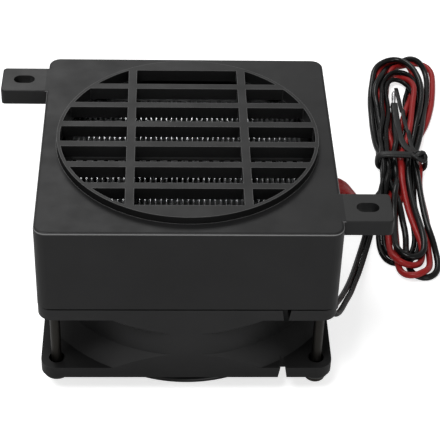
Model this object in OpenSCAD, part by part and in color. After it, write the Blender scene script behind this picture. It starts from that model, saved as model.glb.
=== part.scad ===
// Fan heater module: a square moulded housing with a round outlet grille and two slotted lugs
// sits on an axial fan. A finned heating core fills the housing, and a wire guard covers the intake.
// Millimetres. The origin is on the fan's axis, on the surface that the guard stands on.
// +Z is the way the air blows, and +X points at the side where the leads come out.

/* [Housing] */
// Height of the housing above the fan
housing_h = 26.5; // [25:0.5:32]
// Wall thickness of the housing
wall_t = 2; // [1.6:0.1:2.4]
// Thickness of the roof round the outlet
roof_t = 3; // [2.6:0.1:4]
// Radius of the upright corners
corner_r = 3.3; // [2.5:0.1:4.5]
// Rounding of the top edges
edge_r = 0.8; // [0.4:0.1:1.2]

/* [Mounting lugs] */
// How far each lug stands out from the housing wall
lug_reach = 13.1; // [11:0.1:18]
// Width of each lug along the wall
lug_w = 11.6; // [9:0.1:16]
// Thickness of each lug
lug_t = 4.6; // [3:0.1:6]
// Distance of each lug's middle from the centre line
lug_offset = 28.9; // [20:0.1:31]
// Length of the slot in each lug
slot_len = 6; // [5:0.1:8]
// Width of the slot in each lug
slot_w = 3.8; // [3:0.1:4.5]
// Distance from the housing wall to the slot's middle
slot_offset = 6.7; // [5.5:0.1:7.5]

/* [Outlet grille] */
// Width of the roof between the grille's recess and the housing's side
grille_edge = 4.2; // [3.6:0.1:6]
// Thickness of the grille's rim wall
rim_t = 0.9; // [0.7:0.1:1.4]
// How far the grille stands above the roof
grille_proud = 2.1; // [1:0.1:3]
// Depth of the recess in the roof that holds the grille
grille_seat = 1.6; // [1:0.1:2]
// Number of long bars
bar_count = 6; // [4:2:8]
// Distance between the long bars
bar_pitch = 9.1; // [7:0.1:9.4]
// Width of the bars
bar_w = 2.3; // [1.6:0.1:3]
// Distance of the two cross bars from the centre line
cross_bar_x = 15.5; // [12:0.1:20]
// Half the height of the slotted field between the two blank segments
field_half = 30.8; // [29:0.1:32]

/* [Heating core] */
// Room between each end of the finned part and the housing wall
core_end_gap = 5.5; // [5.2:0.1:8]
// Depth of the core along the air stream
core_depth = 15; // [12:0.5:16]
// Height of each row of fins
fin_h = 10; // [8:0.5:10.5]
// Thickness of the fin sheet
fin_t = 0.3; // [0.2:0.05:0.4]
// Distance between neighbouring fin legs
fin_pitch = 1.45; // [1.2:0.05:2.4]
// Thickness of each heating tube
tube_t = 5.5; // [5.2:0.1:6]
// Wall of each heating tube
tube_wall = 0.8; // [0.6:0.1:0.9]
// Thickness of the hollow beam in the middle
beam_t = 2.8; // [2.4:0.1:3.4]
// Thickness of the two outer plates
side_plate_t = 1; // [0.8:0.1:1.4]
// Number of ceramic stones in each tube
stone_count = 3; // [2:1:4]
// Thickness of each ceramic stone
stone_t = 2.2; // [2:0.1:2.4]

/* [Fan] */
// Width of the square fan frame
fan_w = 80; // [80:1:86]
// Depth of the fan frame
fan_depth = 25; // [22:0.5:32]
// Thickness of each flange
flange_t = 3.6; // [3:0.1:4.5]
// Corner radius of the flanges
flange_corner_r = 4; // [3:0.1:5]
// Distance of the screw holes from the frame's sides
screw_inset = 4.25; // [4:0.05:4.5]
// Diameter of the screw holes in the flanges
screw_hole_d = 4.3; // [4:0.1:4.6]
// Thickness that the flanges keep outside the air duct, at its closest to a side
duct_edge = 2; // [1.8:0.1:4]
// Wall thickness of the duct at its waist
duct_wall = 2.2; // [1.8:0.1:3]
// Wall thickness of the duct where it meets the flanges
duct_flare_wall = 6.8; // [5:0.1:7.2]
// Height of the flare at each end of the duct
duct_flare_h = 5; // [3:0.5:6]
// Number of blades
blade_count = 7; // [5:1:9]
// Outer radius of the rotor hub
hub_r = 16; // [15.5:0.1:18]
// Clearance between the blade tips and the duct
tip_gap = 0.8; // [0.5:0.1:1.5]
// Height of the blades along the axis
blade_h = 14; // [10:0.5:14]
// Thickness of a blade at its root
blade_root_t = 1.8; // [1.4:0.1:2.4]
// Thickness of a blade at its tip
blade_tip_t = 0.9; // [0.7:0.1:1.2]
// Turn of a blade from its lower to its upper edge
blade_turn = 34; // [25:1:40]

/* [Motor] */
// Radius of the rotor shaft
shaft_r = 1; // [0.8:0.05:1.2]
// Running clearance between the shaft and its bearing, on the radius
shaft_gap = 0.04; // [0.02:0.01:0.08]
// Outer radius of the bearing sleeve
bearing_r = 2.6; // [2.4:0.1:3]
// Air gap between the stator and the magnet ring
air_gap = 0.5; // [0.4:0.05:0.8]
// Thickness of the magnet ring
magnet_t = 1.6; // [1.2:0.1:2]
// Thickness of the steel rotor cup
yoke_t = 0.7; // [0.5:0.1:0.9]

/* [Guard and screws] */
// Diameter of the guard wire
wire_d = 1.6; // [1.4:0.1:2]
// Distance from the fan down to the underside of the guard
guard_drop = 6.5; // [5.5:0.1:9]
// How far the guard's outer ring stays inside the air duct
guard_inset = 2.8; // [2:0.1:4]
// Distance between the guard's rings
guard_pitch = 7.2; // [7:0.1:8]
// Number of rings
guard_rings = 5; // [4:1:5]
// Middle radius of the eyes that the screws go through
eye_r = 3; // [2.8:0.1:3.2]
// Radius of the screw shanks
screw_r = 1.4; // [1.3:0.05:1.5]
// Radius of the pan heads
head_r = 2.8; // [2.6:0.1:3.2]
// Height of the pan heads
head_h = 2.3; // [1.8:0.1:2.5]
// Depth that the screws reach into the housing
screw_bite = 12; // [8:0.5:14]

/* [Leads] */
// Diameter of the two heater leads
lead_d = 2; // [1.8:0.1:2.2]
// Diameter of the two fan leads
fan_lead_d = 1.5; // [1.2:0.1:1.6]

/* [Hidden] */
$fn = 64;
eps = 0.01;

// Heights of the main levels
fan_z = guard_drop;
fan_top_z = fan_z + fan_depth;
housing_w = fan_w;
roof_z = fan_top_z + housing_h;
roof_under_z = roof_z - roof_t;
inner_half = housing_w / 2 - wall_t;
grille_r = housing_w / 2 - grille_edge;

// Colours
black_plastic = [0.16, 0.16, 0.16];
dark_plastic = [0.11, 0.11, 0.11];
aluminium = [0.72, 0.73, 0.74];
steel = [0.55, 0.55, 0.56];
brass = [0.72, 0.58, 0.32];

// Small clearances that keep neighbouring parts apart
fit_gap = 0.12;
glue_film = 0.05;

// Housing details
seam_h = 0.4;
seam_inset = 0.5;
boss_r = 3.2;
boss_len = screw_bite + 2;
pilot_r = screw_r + 0.05;
lug_edge_r = 1.2;
lug_top_edge_r = 0.4;
grille_ledge_r = grille_r - rim_t;
grille_bore_r = grille_r + fit_gap;
screw_half = fan_w / 2 - screw_inset;

// Heating core layout, from the middle outwards along Y
core_top_gap = 4.4;
core_z1 = roof_z - grille_seat - core_top_gap;
core_z0 = core_z1 - core_depth;
core_len = 2 * (inner_half - core_end_gap);
beam_half = beam_t / 2;
fin_in_y = beam_half + glue_film;
tube_y = fin_in_y + fin_h + glue_film;
fin_out_y = tube_y + tube_t + glue_film;
plate_y = fin_out_y + fin_h + glue_film;
core_half_y = plate_y + side_plate_t;
fin_legs = floor((core_len - fin_t) / fin_pitch) + 1;
fin_run = (fin_legs - 1) * fin_pitch;

// Terminal bars, with room for the leads between them and the housing wall
bar_t = 0.6;
bar_wall_gap = 3;
bar_x = inner_half - bar_wall_gap - bar_t;
bar_half_y = tube_y + tube_t;

// End holders: a wall with a pocket for the core, and wings that reach the housing wall
pocket_depth = 0.6;
holder_in_x = core_len / 2 - pocket_depth;
holder_out_x = bar_x - 0.3;
holder_t = holder_out_x - holder_in_x;
holder_half_y = core_half_y + 0.9;
holder_lip = 1;
wing_t = 3;
wing_y = bar_half_y + 3.5;
tube_half_x = holder_out_x - 0.2;

// Inside a heating tube: stones with an electrode strip on each side
cavity_t = tube_t - 2 * tube_wall;
stone_h = core_depth - 2 * tube_wall - 1.4;
stone_gap = 0.4;
electrode_t = 0.4;
electrode_y = stone_t / 2 + glue_film;
stones_half_x = core_len / 2 - 2;
stone_len = (2 * stones_half_x - (stone_count - 1) * stone_gap) / stone_count;
tab_h = 4;
tab_red_z = core_z1 - 6.5;
tab_black_z = tab_red_z - 6;

// Fan and motor levels
duct_r = fan_w / 2 - duct_edge;
duct_d = 2 * duct_r;
duct_waist_r = duct_r + duct_wall;
duct_flare_r = duct_r + duct_flare_wall;
blade_tip_r = duct_r - tip_gap;
blade_z0 = fan_z + 3;
hub_z0 = fan_z + 1.6;
base_t = 2.8;
base_z0 = fan_top_z - base_t;
hub_z1 = base_z0 - fan_lead_d - 0.5;
hub_floor_t = 1.6;
hub_wall_t = 1;
yoke_r = hub_r - hub_wall_t;
magnet_r = yoke_r - yoke_t;
stator_r = magnet_r - magnet_t - air_gap;
bearing_tube_r = bearing_r + 1.1;
bearing_z0 = hub_z0 + 3.6;
bearing_z1 = base_z0 - 0.4;
board_t = 1;
board_z0 = hub_z1 - board_t - 0.6;
stator_z0 = hub_z0 + 5.2;
stator_h = 6.4;
coil_t = 1.5;
pole_count = 4;
strut_w = 3;
strut_t = 2.4;
notch_wide = 2.4;
notch_narrow = 1.3;
notch_depth = 4;
notch_x = 26.3;

// Guard and screws
wire_r = wire_d / 2;
guard_ring_r = duct_r - guard_inset;
eye_z = fan_z - wire_r - glue_film;
corner_reach = screw_half * sqrt(2);
weld_rise = 0.9;
leg_z = wire_r + weld_rise;
screw_top_z = fan_top_z + screw_bite;
flat_head_r = 2.55;
flat_head_h = 1.5;

// Heater leads leave through two notches in the right wall, at this height
lead_exit_z = fan_top_z + 3;
lead_notch_w = lead_d + 0.6;
red_exit_y = 14;
black_exit_y = 9.5;

// Fan leads leave the duct through one slot below the upper flange
slot_angle = -38;
lead_slot_w = 2 * fan_lead_d + 1;
lead_slot_z = fan_top_z - flange_t - fan_lead_d;

// Routes of the free stretches
red_route = [
    [36.1, 14, 47.9], [36.1, 14, 44.5], [36.1, 14, 41.1], [36.1, 14, 38], [36.4, 14, 36.3],
    [37.1, 14, 35.1], [38.1, 14, 34.3], [39.3, 14.1, 33.8], [40.8, 14.5, 33.4], [43.2, 15.3, 32.3],
    [45.4, 16.4, 30.6], [47.3, 17.9, 28.1], [49.6, 20.4, 23.6], [52.2, 24.2, 18],
    [55.2, 29, 12.4], [58.2, 33.6, 8.4], [60.9, 37.7, 6.1], [63.2, 41.4, 5.2]
];
black_route = [
    [36.1, 9.5, 42.9], [36.1, 9.5, 40.3], [36.2, 9.5, 37.9], [36.7, 9.5, 35.9], [37.8, 9.5, 34.4],
    [39.3, 9.7, 33.3], [40.8, 10.1, 32.4], [42.6, 11.4, 30.2], [44.4, 13.8, 26.7],
    [46.6, 17.2, 21.8], [49.2, 21.4, 16.3], [52.2, 26.2, 11], [55.6, 31.3, 6.7],
    [58.9, 36, 4.1], [61.6, 40, 3], [63.2, 42.6, 2.9]
];
fan_front_route = [
    [7, -6.6, 26.9], [10.2, -9.1, 27.7], [15.5, -13.3, 27.8], [21.3, -17.8, 27.3],
    [27.2, -22.4, 26.5], [32.3, -26.3, 26.4], [35, -28.4, 26.3], [37.1, -29.9, 25.9],
    [38.6, -30.7, 24.8], [39.5, -30.7, 23.2], [40.3, -30.4, 21.7], [41.2, -29.2, 20.3],
    [42.4, -26.8, 18.9], [43.7, -23.4, 17.5], [45.3, -18.6, 15.5], [47.4, -12.3, 12.8],
    [49.3, -5.6, 10.2], [51.3, 1.3, 7.6], [53.2, 8.3, 5.2], [55.1, 15.4, 3.3],
    [57, 22.4, 2], [58.9, 29.4, 1.3], [60.8, 36.2, 0.9], [62.6, 42.8, 0.8],
    [64.2, 48.8, 0.8]
];
fan_back_route = [
    [8.2, -5.2, 26.9], [11.4, -7.7, 27.7], [16.7, -11.9, 27.8], [22.5, -16.4, 27.3],
    [28.4, -21, 26.5], [33.3, -24.9, 26.4], [35.7, -26.7, 26.3], [37.6, -28.1, 26],
    [39, -28.9, 25], [39.8, -29, 23.4], [40.3, -28.6, 22.1], [40.9, -27.2, 21],
    [41.5, -24.9, 20], [42.5, -22, 18.5], [43.9, -18, 16.4], [46, -11.7, 13.6],
    [48, -5, 10.8], [49.9, 1.9, 8.2], [51.7, 8.9, 5.6], [53.5, 15.8, 3.5],
    [55.4, 22.8, 2], [57.3, 29.8, 1.3], [59.2, 36.6, 0.9], [61, 43.2, 0.8],
    [62.6, 49.2, 0.8], [63.9, 54.6, 0.8]
];

// The folded bundle of leads, as three circles that its outline wraps
hank_far = [78.4, 115.6];
hank_far_r = 12.2;
hank_waist = [71.9, 61];
hank_waist_r = 7.4;
hank_near = [69.8, 16.5];
hank_near_r = 9.6;
hank_h = 7.2;
tie_w = 3.2;
tie_t = 1.1;
tie_base_z = 0;

// A square outline with round corners
module round_square(w, d, r) {
    square([w - 2 * r, d], center = true);
    square([w, d - 2 * r], center = true);
    for (x = [-1, 1], y = [-1, 1])
        translate([x * (w / 2 - r), y * (d / 2 - r)]) circle(r);
}

// A block with round upright corners and a rounded top edge
module soft_block(w, d, h, r, e) {
    rise = h - e;
    run = r - e;
    edge = [for (a = [0 : 22.5 : 90]) [run + e * cos(a), rise + e * sin(a)]];
    hull() for (x = [-1, 1], y = [-1, 1])
        translate([x * (w / 2 - r), y * (d / 2 - r), 0])
            rotate_extrude($fn = 40) polygon(concat([[0, 0], [r, 0]], edge, [[0, h]]));
}

// A slot with round ends, long along X
module slot_cut(len, w, h) {
    run = (len - w) / 2;
    translate([-run, -w / 2, 0]) cube([2 * run, w, h]);
    for (x = [-run, run]) translate([x, 0, 0]) cylinder(h = h, d = w);
}

// Places its children at the four screw positions
module at_screws() {
    for (x = [-1, 1], y = [-1, 1])
        translate([x * screw_half, y * screw_half, 0]) children();
}

// The lug on the left wall. The right one is the same lug turned half round.
module lug() {
    reach = lug_reach + wall_t;
    translate([-(housing_w / 2 + lug_reach - reach / 2), lug_offset, roof_z - lug_t])
        soft_block(reach, lug_w, lug_t, lug_edge_r, lug_top_edge_r);
}

module housing() {
    color(black_plastic) difference() {
        union() {
            difference() {
                union() {
                    translate([0, 0, fan_top_z + seam_h])
                        soft_block(housing_w, housing_w, housing_h - seam_h, corner_r, edge_r);
                    translate([0, 0, fan_top_z]) linear_extrude(seam_h + eps)
                        round_square(housing_w - 2 * seam_inset, housing_w - 2 * seam_inset,
                            corner_r - seam_inset);
                    lug();
                    rotate(180) lug();
                }
                translate([0, 0, fan_top_z - 1]) linear_extrude(housing_h - roof_t + 1)
                    round_square(2 * inner_half, 2 * inner_half, corner_r - wall_t);
            }
            translate([0, 0, fan_top_z]) at_screws() cylinder(h = boss_len, r = boss_r);
        }
        translate([0, 0, fan_top_z - 1]) at_screws() cylinder(h = boss_len, r = pilot_r);
        translate([0, 0, roof_z - grille_seat]) cylinder(h = grille_seat + 1, r = grille_bore_r);
        translate([0, 0, roof_under_z - 1]) cylinder(h = roof_t, r = grille_ledge_r);
        for (side = [0, 180]) rotate(side)
            translate([-(housing_w / 2 + slot_offset), lug_offset, roof_z - lug_t - 1])
                slot_cut(slot_len, slot_w, lug_t + 2);
        for (y = [red_exit_y, black_exit_y]) lead_notch(y);
    }
}

// A notch with a round top in the lower edge of the right wall
module lead_notch(y) {
    depth = wall_t + 2;
    translate([inner_half - 1, y - lead_notch_w / 2, fan_top_z - 1])
        cube([depth, lead_notch_w, lead_exit_z - fan_top_z + 1]);
    translate([inner_half - 1, y, lead_exit_z]) rotate([0, 90, 0])
        cylinder(h = depth, d = lead_notch_w);
}

module outlet_grille() {
    z0 = roof_z - grille_seat;
    h = grille_seat + grille_proud;
    first_bar = -(bar_count - 1) / 2 * bar_pitch;
    color(black_plastic) translate([0, 0, z0]) linear_extrude(h) {
        difference() {
            circle(grille_r, $fn = 128);
            intersection() {
                circle(grille_r - rim_t, $fn = 128);
                square([2 * grille_r, 2 * field_half], center = true);
            }
        }
        intersection() {
            circle(grille_r - rim_t / 2, $fn = 128);
            union() {
                for (i = [0 : bar_count - 1])
                    translate([0, first_bar + i * bar_pitch])
                        square([2 * grille_r, bar_w], center = true);
                for (x = [-cross_bar_x, cross_bar_x])
                    translate([x, 0]) square([bar_w, 2 * field_half + 1], center = true);
            }
        }
    }
}

// One end holder, drawn at the right end of the core
module core_holder() {
    top_z = core_z1 + holder_lip;
    color(dark_plastic) difference() {
        union() {
            translate([holder_in_x, -holder_half_y, fan_top_z])
                cube([holder_t, 2 * holder_half_y, top_z - fan_top_z]);
            for (side = [-1, 1])
                translate([holder_out_x - 1, side * wing_y - wing_t / 2, fan_top_z])
                    cube([inner_half - fit_gap - holder_out_x + 1, wing_t,
                        roof_under_z - fit_gap - fan_top_z]);
        }
        translate([holder_in_x - 1, -core_half_y - fit_gap, core_z0])
            cube([pocket_depth + fit_gap + 1, 2 * (core_half_y + fit_gap), core_depth + fit_gap]);
        for (side = [-1, 1])
            translate([holder_in_x, side * (tube_y + tube_t / 2) - tube_t / 2 - fit_gap, core_z0])
                cube([holder_t + 1, tube_t + 2 * fit_gap, core_depth + fit_gap]);
    }
}

// A corrugated strip: legs along Y, joined in turn at their far and near ends
module fin_row(y0) {
    color(aluminium) translate([-fin_run / 2, y0, core_z0]) linear_extrude(core_depth)
        for (i = [0 : fin_legs - 1]) {
            translate([i * fin_pitch - fin_t / 2, 0]) square([fin_t, fin_h]);
            if (i < fin_legs - 1)
                translate([i * fin_pitch, i % 2 == 0 ? 0 : fin_h - fin_t])
                    square([fin_pitch, fin_t]);
        }
}

// A flat hollow bar along X
module hollow_bar(half_x, y0, t, wall, tint = aluminium) {
    color(tint) translate([-half_x, y0, core_z0]) difference() {
        cube([2 * half_x, t, core_depth]);
        translate([-1, wall, wall]) cube([2 * half_x + 2, t - 2 * wall, core_depth - 2 * wall]);
    }
}

module side_plate(y0) {
    color(steel) translate([-core_len / 2, y0, core_z0]) cube([core_len, side_plate_t, core_depth]);
}

// The ceramic stones of one tube, in a row along its middle
module ptc_stones(mid_y) {
    color([0.45, 0.44, 0.42])
        for (i = [0 : stone_count - 1])
            translate([-stones_half_x + i * (stone_len + stone_gap), mid_y - stone_t / 2,
                core_z0 + (core_depth - stone_h) / 2])
                cube([stone_len, stone_t, stone_h]);
}

// Two strips, one on each face of the stones, each with a tab that reaches its terminal bar
module electrodes(mid_y) {
    strip_z0 = core_z0 + (core_depth - stone_h) / 2;
    color(aluminium)
        for (side = [-1, 1]) {
            y0 = mid_y + side * (electrode_y + electrode_t / 2) - electrode_t / 2;
            tab_z = side < 0 ? tab_red_z : tab_black_z;
            translate([-stones_half_x, y0, strip_z0])
                cube([2 * stones_half_x, electrode_t, stone_h]);
            translate([stones_half_x - 1, y0, tab_z])
                cube([bar_x - stones_half_x + 1, electrode_t, tab_h]);
        }
}

// A strip that joins the two tabs of one pole
module terminal_bar(z0) {
    color(brass) translate([bar_x, -bar_half_y, z0]) cube([bar_t, 2 * bar_half_y, tab_h]);
}

// A slot in the front edge of a flange, with its own width at the flange's lower and upper face
module cable_notch(z0, low_w, high_w) {
    over = 2;
    right_half = [[low_w / 2, -over], [low_w / 2, 0], [high_w / 2, flange_t], [high_w / 2, flange_t + over]];
    left_half = [for (i = [3 : -1 : 0]) [-right_half[i].x, right_half[i].y]];
    translate([notch_x, notch_depth - fan_w / 2, z0]) rotate([90, 0, 0])
        linear_extrude(notch_depth + 1) polygon(concat(right_half, left_half));
}

module fan_frame() {
    upper_z = fan_top_z - flange_t;
    color(black_plastic) {
        difference() {
            union() {
                for (z = [fan_z, upper_z]) translate([0, 0, z]) linear_extrude(flange_t)
                    round_square(fan_w, fan_w, flange_corner_r);
                intersection() {
                    translate([0, 0, fan_z]) rotate_extrude($fn = 96) duct_outline();
                    translate([-fan_w / 2, -fan_w / 2, fan_z]) cube([fan_w, fan_w, fan_depth]);
                }
            }
            translate([0, 0, fan_z - 1]) cylinder(h = fan_depth + 2, d = duct_d, $fn = 96);
            translate([0, 0, fan_z - eps]) cylinder(h = 1.5, d1 = duct_d + 2.4, d2 = duct_d, $fn = 96);
            translate([0, 0, fan_z - 1]) at_screws() cylinder(h = fan_depth + 2, d = screw_hole_d);
            cable_notch(fan_z, notch_wide, notch_narrow);
            cable_notch(upper_z, notch_narrow, notch_wide);
            rotate(slot_angle) translate([duct_r - 2, -lead_slot_w / 2, lead_slot_z - fan_lead_d / 2 - 0.3])
                cube([duct_flare_r - duct_r + 4, lead_slot_w, fan_lead_d + 0.6]);
        }
        motor_base();
    }
}

// Half outline of the duct's outside, flared towards both flanges
module duct_outline() {
    top = fan_depth - flange_t;
    polygon([
        [0, 0], [duct_flare_r, 0], [duct_flare_r, flange_t],
        [duct_waist_r, flange_t + duct_flare_h], [duct_waist_r, top - duct_flare_h],
        [duct_flare_r, top], [duct_flare_r, fan_depth], [0, fan_depth]
    ]);
}

// The plate that carries the motor, its bearing tube and the struts that hold it in the duct
module motor_base() {
    strut_in = hub_r - 2;
    difference() {
        union() {
            translate([0, 0, base_z0]) cylinder(h = base_t, r = hub_r);
            translate([0, 0, bearing_z0]) cylinder(h = base_z0 - bearing_z0 + eps, r = bearing_tube_r);
            for (a = [0 : 90 : 270]) rotate(a + slot_angle)
                translate([strut_in, -strut_w / 2, base_z0])
                    cube([duct_r + 0.6 - strut_in, strut_w, strut_t]);
        }
        translate([0, 0, bearing_z0 - 1]) cylinder(h = bearing_z1 - bearing_z0 + 1, r = bearing_r);
    }
}

module impeller() {
    rim = [for (a = [0 : 22.5 : 90]) [hub_r - 1.2 + 1.2 * sin(a), 1.2 - 1.2 * cos(a)]];
    color(dark_plastic) {
        translate([0, 0, hub_z0]) difference() {
            rotate_extrude() polygon(concat([[0, 0]], rim, [[hub_r, hub_z1 - hub_z0], [0, hub_z1 - hub_z0]]));
            translate([0, 0, hub_floor_t]) difference() {
                cylinder(h = fan_depth, r = yoke_r);
                cylinder(h = 1, r = 2 * shaft_r);
            }
            translate([0, 0, hub_floor_t - 0.8]) cylinder(h = 3, r = shaft_r);
        }
        for (i = [0 : blade_count - 1]) rotate(i * 360 / blade_count) blade();
    }
}

// A blade: a swept strip, thinner towards its tip, that turns as it rises
module blade() {
    root_r = hub_r - 0.4;
    steps = 4;
    sweep = 14;
    radii = [for (i = [0 : steps]) root_r + (blade_tip_r - root_r) * i / steps];
    half_t = [for (i = [0 : steps]) (blade_root_t + (blade_tip_t - blade_root_t) * i / steps) / 2];
    lean = [for (i = [0 : steps]) sweep * pow(i / steps, 1.5)];
    front = [for (i = [0 : steps]) let (a = lean[i] + half_t[i] / radii[i] * 57.3) radii[i] * [cos(a), sin(a)]];
    back = [for (i = [steps : -1 : 0]) let (a = lean[i] - half_t[i] / radii[i] * 57.3) radii[i] * [cos(a), sin(a)]];
    translate([0, 0, blade_z0]) linear_extrude(blade_h, twist = -blade_turn, slices = 7, segments = 10)
        polygon(concat(front, back));
}

module rotor_yoke() {
    z0 = hub_z0 + hub_floor_t;
    color(steel) translate([0, 0, z0]) difference() {
        cylinder(h = hub_z1 - z0 - 0.6, r = yoke_r);
        translate([0, 0, -1]) cylinder(h = fan_depth, r = magnet_r);
    }
}

module rotor_magnet() {
    color([0.25, 0.24, 0.24]) translate([0, 0, hub_z0 + hub_floor_t + 1]) difference() {
        cylinder(h = stator_h + 5, r = magnet_r);
        translate([0, 0, -1]) cylinder(h = fan_depth, r = magnet_r - magnet_t);
    }
}

module rotor_shaft() {
    z0 = hub_z0 + hub_floor_t - 0.8;
    color([0.8, 0.8, 0.8]) translate([0, 0, z0]) cylinder(h = bearing_z1 - 0.6 - z0, r = shaft_r);
}

module bearing_sleeve() {
    color(brass) translate([0, 0, bearing_z0]) difference() {
        cylinder(h = bearing_z1 - bearing_z0, r = bearing_r);
        translate([0, 0, -1]) cylinder(h = fan_depth, r = shaft_r + shaft_gap);
    }
}

// Laminated core: a ring on the bearing tube with one shoe for each pole
module stator_core() {
    color(steel) translate([0, 0, stator_z0]) linear_extrude(stator_h) difference() {
        union() {
            circle(bearing_tube_r + 1.8);
            difference() {
                circle(stator_r);
                circle(stator_r - 1.4);
                for (i = [0 : pole_count - 1]) rotate((i + 0.5) * 360 / pole_count)
                    translate([stator_r, 0]) square([6, 3], center = true);
            }
            for (i = [0 : pole_count - 1]) rotate(i * 360 / pole_count)
                translate([bearing_tube_r + 1, -1.4]) square([stator_r - bearing_tube_r - 2, 2.8]);
        }
        circle(bearing_tube_r + 0.05);
    }
}

// One winding round each pole of the stator core
module stator_coils() {
    in_r = bearing_tube_r + 2.1;
    coil_len = stator_r - 2.1 - in_r;
    color([0.62, 0.33, 0.16])
        for (i = [0 : pole_count - 1]) rotate(i * 360 / pole_count)
            translate([in_r, 0, stator_z0 + stator_h / 2]) rotate([0, 90, 0])
                linear_extrude(coil_len) difference() {
                    round_square(stator_h + 2 * coil_t, 2.9 + 2 * coil_t, 1);
                    square([stator_h + 0.1, 2.9], center = true);
                }
}

module motor_board() {
    color([0.1, 0.3, 0.16]) translate([0, 0, board_z0]) difference() {
        cylinder(h = board_t, r = stator_r);
        translate([0, 0, -1]) cylinder(h = board_t + 2, r = bearing_tube_r + 0.05);
    }
}

// A straight piece of guard wire in the XZ plane, from its outer end to its inner one
module wire(x0, z0, x1, z1) {
    run = x1 - x0;
    rise = z1 - z0;
    translate([x0, 0, z0]) rotate([0, atan2(run, rise), 0])
        cylinder(h = norm([run, rise]), r = wire_r, $fn = 24);
}

module finger_guard() {
    inner_ring_r = guard_ring_r - (guard_rings - 1) * guard_pitch;
    eye_in = corner_reach - eye_r;
    bend_out = eye_in - 2.5;
    bend_in = guard_ring_r + 3;
    miter = wire_r * tan(atan2(eye_z - leg_z, bend_out - bend_in) / 2);
    color(dark_plastic) {
        for (i = [0 : guard_rings - 1])
            translate([0, 0, wire_r]) rotate_extrude()
                translate([guard_ring_r - i * guard_pitch, 0]) circle(wire_r, $fn = 24);
        for (a = [45 : 90 : 315]) rotate(a) {
            translate([corner_reach, 0, eye_z]) rotate_extrude()
                translate([eye_r, 0]) circle(wire_r, $fn = 24);
            wire(eye_in, eye_z, bend_out - miter, eye_z);
            wire(bend_out, eye_z, bend_in, leg_z);
            wire(bend_in + miter, leg_z, inner_ring_r, leg_z);
        }
    }
}

// Three screws have pan heads below the guard's eyes. The front left one is countersunk into its eye.
module guard_screws() {
    head_top_z = eye_z - wire_r - glue_film;
    color(dark_plastic)
        for (x = [-1, 1], y = [-1, 1]) translate([x * screw_half, y * screw_half, 0])
            if (x < 0 && y < 0) flat_screw(head_top_z);
            else pan_screw(head_top_z);
}

module pan_screw(head_top_z) {
    head_z = head_top_z - head_h;
    difference() {
        union() {
            translate([0, 0, head_top_z - eps]) cylinder(h = screw_top_z - head_top_z, r = screw_r);
            translate([0, 0, head_z + 0.8]) cylinder(h = head_h - 0.8, r = head_r);
            translate([0, 0, head_z]) cylinder(h = 0.8, r1 = head_r - 0.8, r2 = head_r);
        }
        cross_recess(head_z);
    }
}

module flat_screw(head_top_z) {
    difference() {
        union() {
            translate([0, 0, head_top_z]) cylinder(h = screw_top_z - head_top_z, r = screw_r);
            translate([0, 0, head_top_z]) cylinder(h = flat_head_h, r1 = flat_head_r, r2 = screw_r);
        }
        cross_recess(head_top_z);
    }
}

// The cross in a screw head that faces down
module cross_recess(z0) {
    for (a = [0, 90]) rotate(a) translate([-1.5, -0.35, z0 - 1]) cube([3, 0.7, 1.9]);
}

// A tube of eight sides swept along a route, each ring square to the route there
module swept_lead(route, d) {
    sides = 8;
    last = len(route) - 1;
    points = [for (i = [0 : last])
        let (
            ahead = route[min(i + 1, last)] - route[max(i - 1, 0)],
            u = ahead / norm(ahead),
            side = cross(u, [0.31, 0.2, 0.93]),
            v = side / norm(side),
            w = cross(u, v)
        )
        for (k = [0 : sides - 1])
            route[i] + d / 2 * (cos(k * 360 / sides) * v + sin(k * 360 / sides) * w)
    ];
    walls = [for (i = [0 : last - 1], k = [0 : sides - 1])
        let (a = i * sides + k, b = i * sides + (k + 1) % sides)
        [a, a + sides, b + sides, b]
    ];
    start = [for (k = [0 : sides - 1]) k];
    end = [for (k = [sides - 1 : -1 : 0]) last * sides + k];
    polyhedron(points = points, faces = concat(walls, [start, end]), convexity = 4);
}

// Outline of the bundle, grown by g
module hank_outline(g) {
    hull() {
        translate(hank_far) circle(hank_far_r + g);
        translate(hank_waist) circle(hank_waist_r + g);
    }
    hull() {
        translate(hank_waist) circle(hank_waist_r + g);
        translate(hank_near) circle(hank_near_r + g);
    }
}

module lead_hank() {
    color([0.13, 0.12, 0.12]) linear_extrude(hank_h) hank_outline(0);
}

// A flat band round the waist of the bundle
module wire_tie() {
    half = hank_waist_r + tie_t;
    color(dark_plastic) translate([hank_waist.x, hank_waist.y + tie_w / 2, 0])
        rotate([90, 0, 0]) linear_extrude(tie_w) difference() {
            translate([0, (hank_h + tie_t) / 2]) round_square(2 * half, hank_h + tie_t, 2);
            translate([0, (hank_h + tie_t) / 2])
                round_square(2 * (half - tie_t), hank_h - tie_t, 1.2);
        }
}

housing();
outlet_grille();
mirror([1, 0, 0]) core_holder();  // core_holder_left
core_holder();  // core_holder_right
hollow_bar(tube_half_x, -tube_y - tube_t, tube_t, tube_wall);  // heating_tube_front
hollow_bar(tube_half_x, tube_y, tube_t, tube_wall);  // heating_tube_rear
ptc_stones(-tube_y - tube_t / 2);  // ptc_stones_front
ptc_stones(tube_y + tube_t / 2);  // ptc_stones_rear
electrodes(-tube_y - tube_t / 2);  // electrodes_front
electrodes(tube_y + tube_t / 2);  // electrodes_rear
fin_row(-fin_out_y - fin_h);  // fin_row_outer_front
fin_row(-fin_in_y - fin_h);  // fin_row_inner_front
fin_row(fin_in_y);  // fin_row_inner_rear
fin_row(fin_out_y);  // fin_row_outer_rear
hollow_bar(core_len / 2, -beam_half, beam_t, 0.6, dark_plastic);  // centre_beam
side_plate(-core_half_y);  // side_plate_front
side_plate(plate_y);  // side_plate_rear
terminal_bar(tab_red_z);  // terminal_bar_red
terminal_bar(tab_black_z);  // terminal_bar_black
fan_frame();
impeller();
rotor_yoke();
rotor_magnet();
rotor_shaft();
bearing_sleeve();
stator_core();
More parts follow.
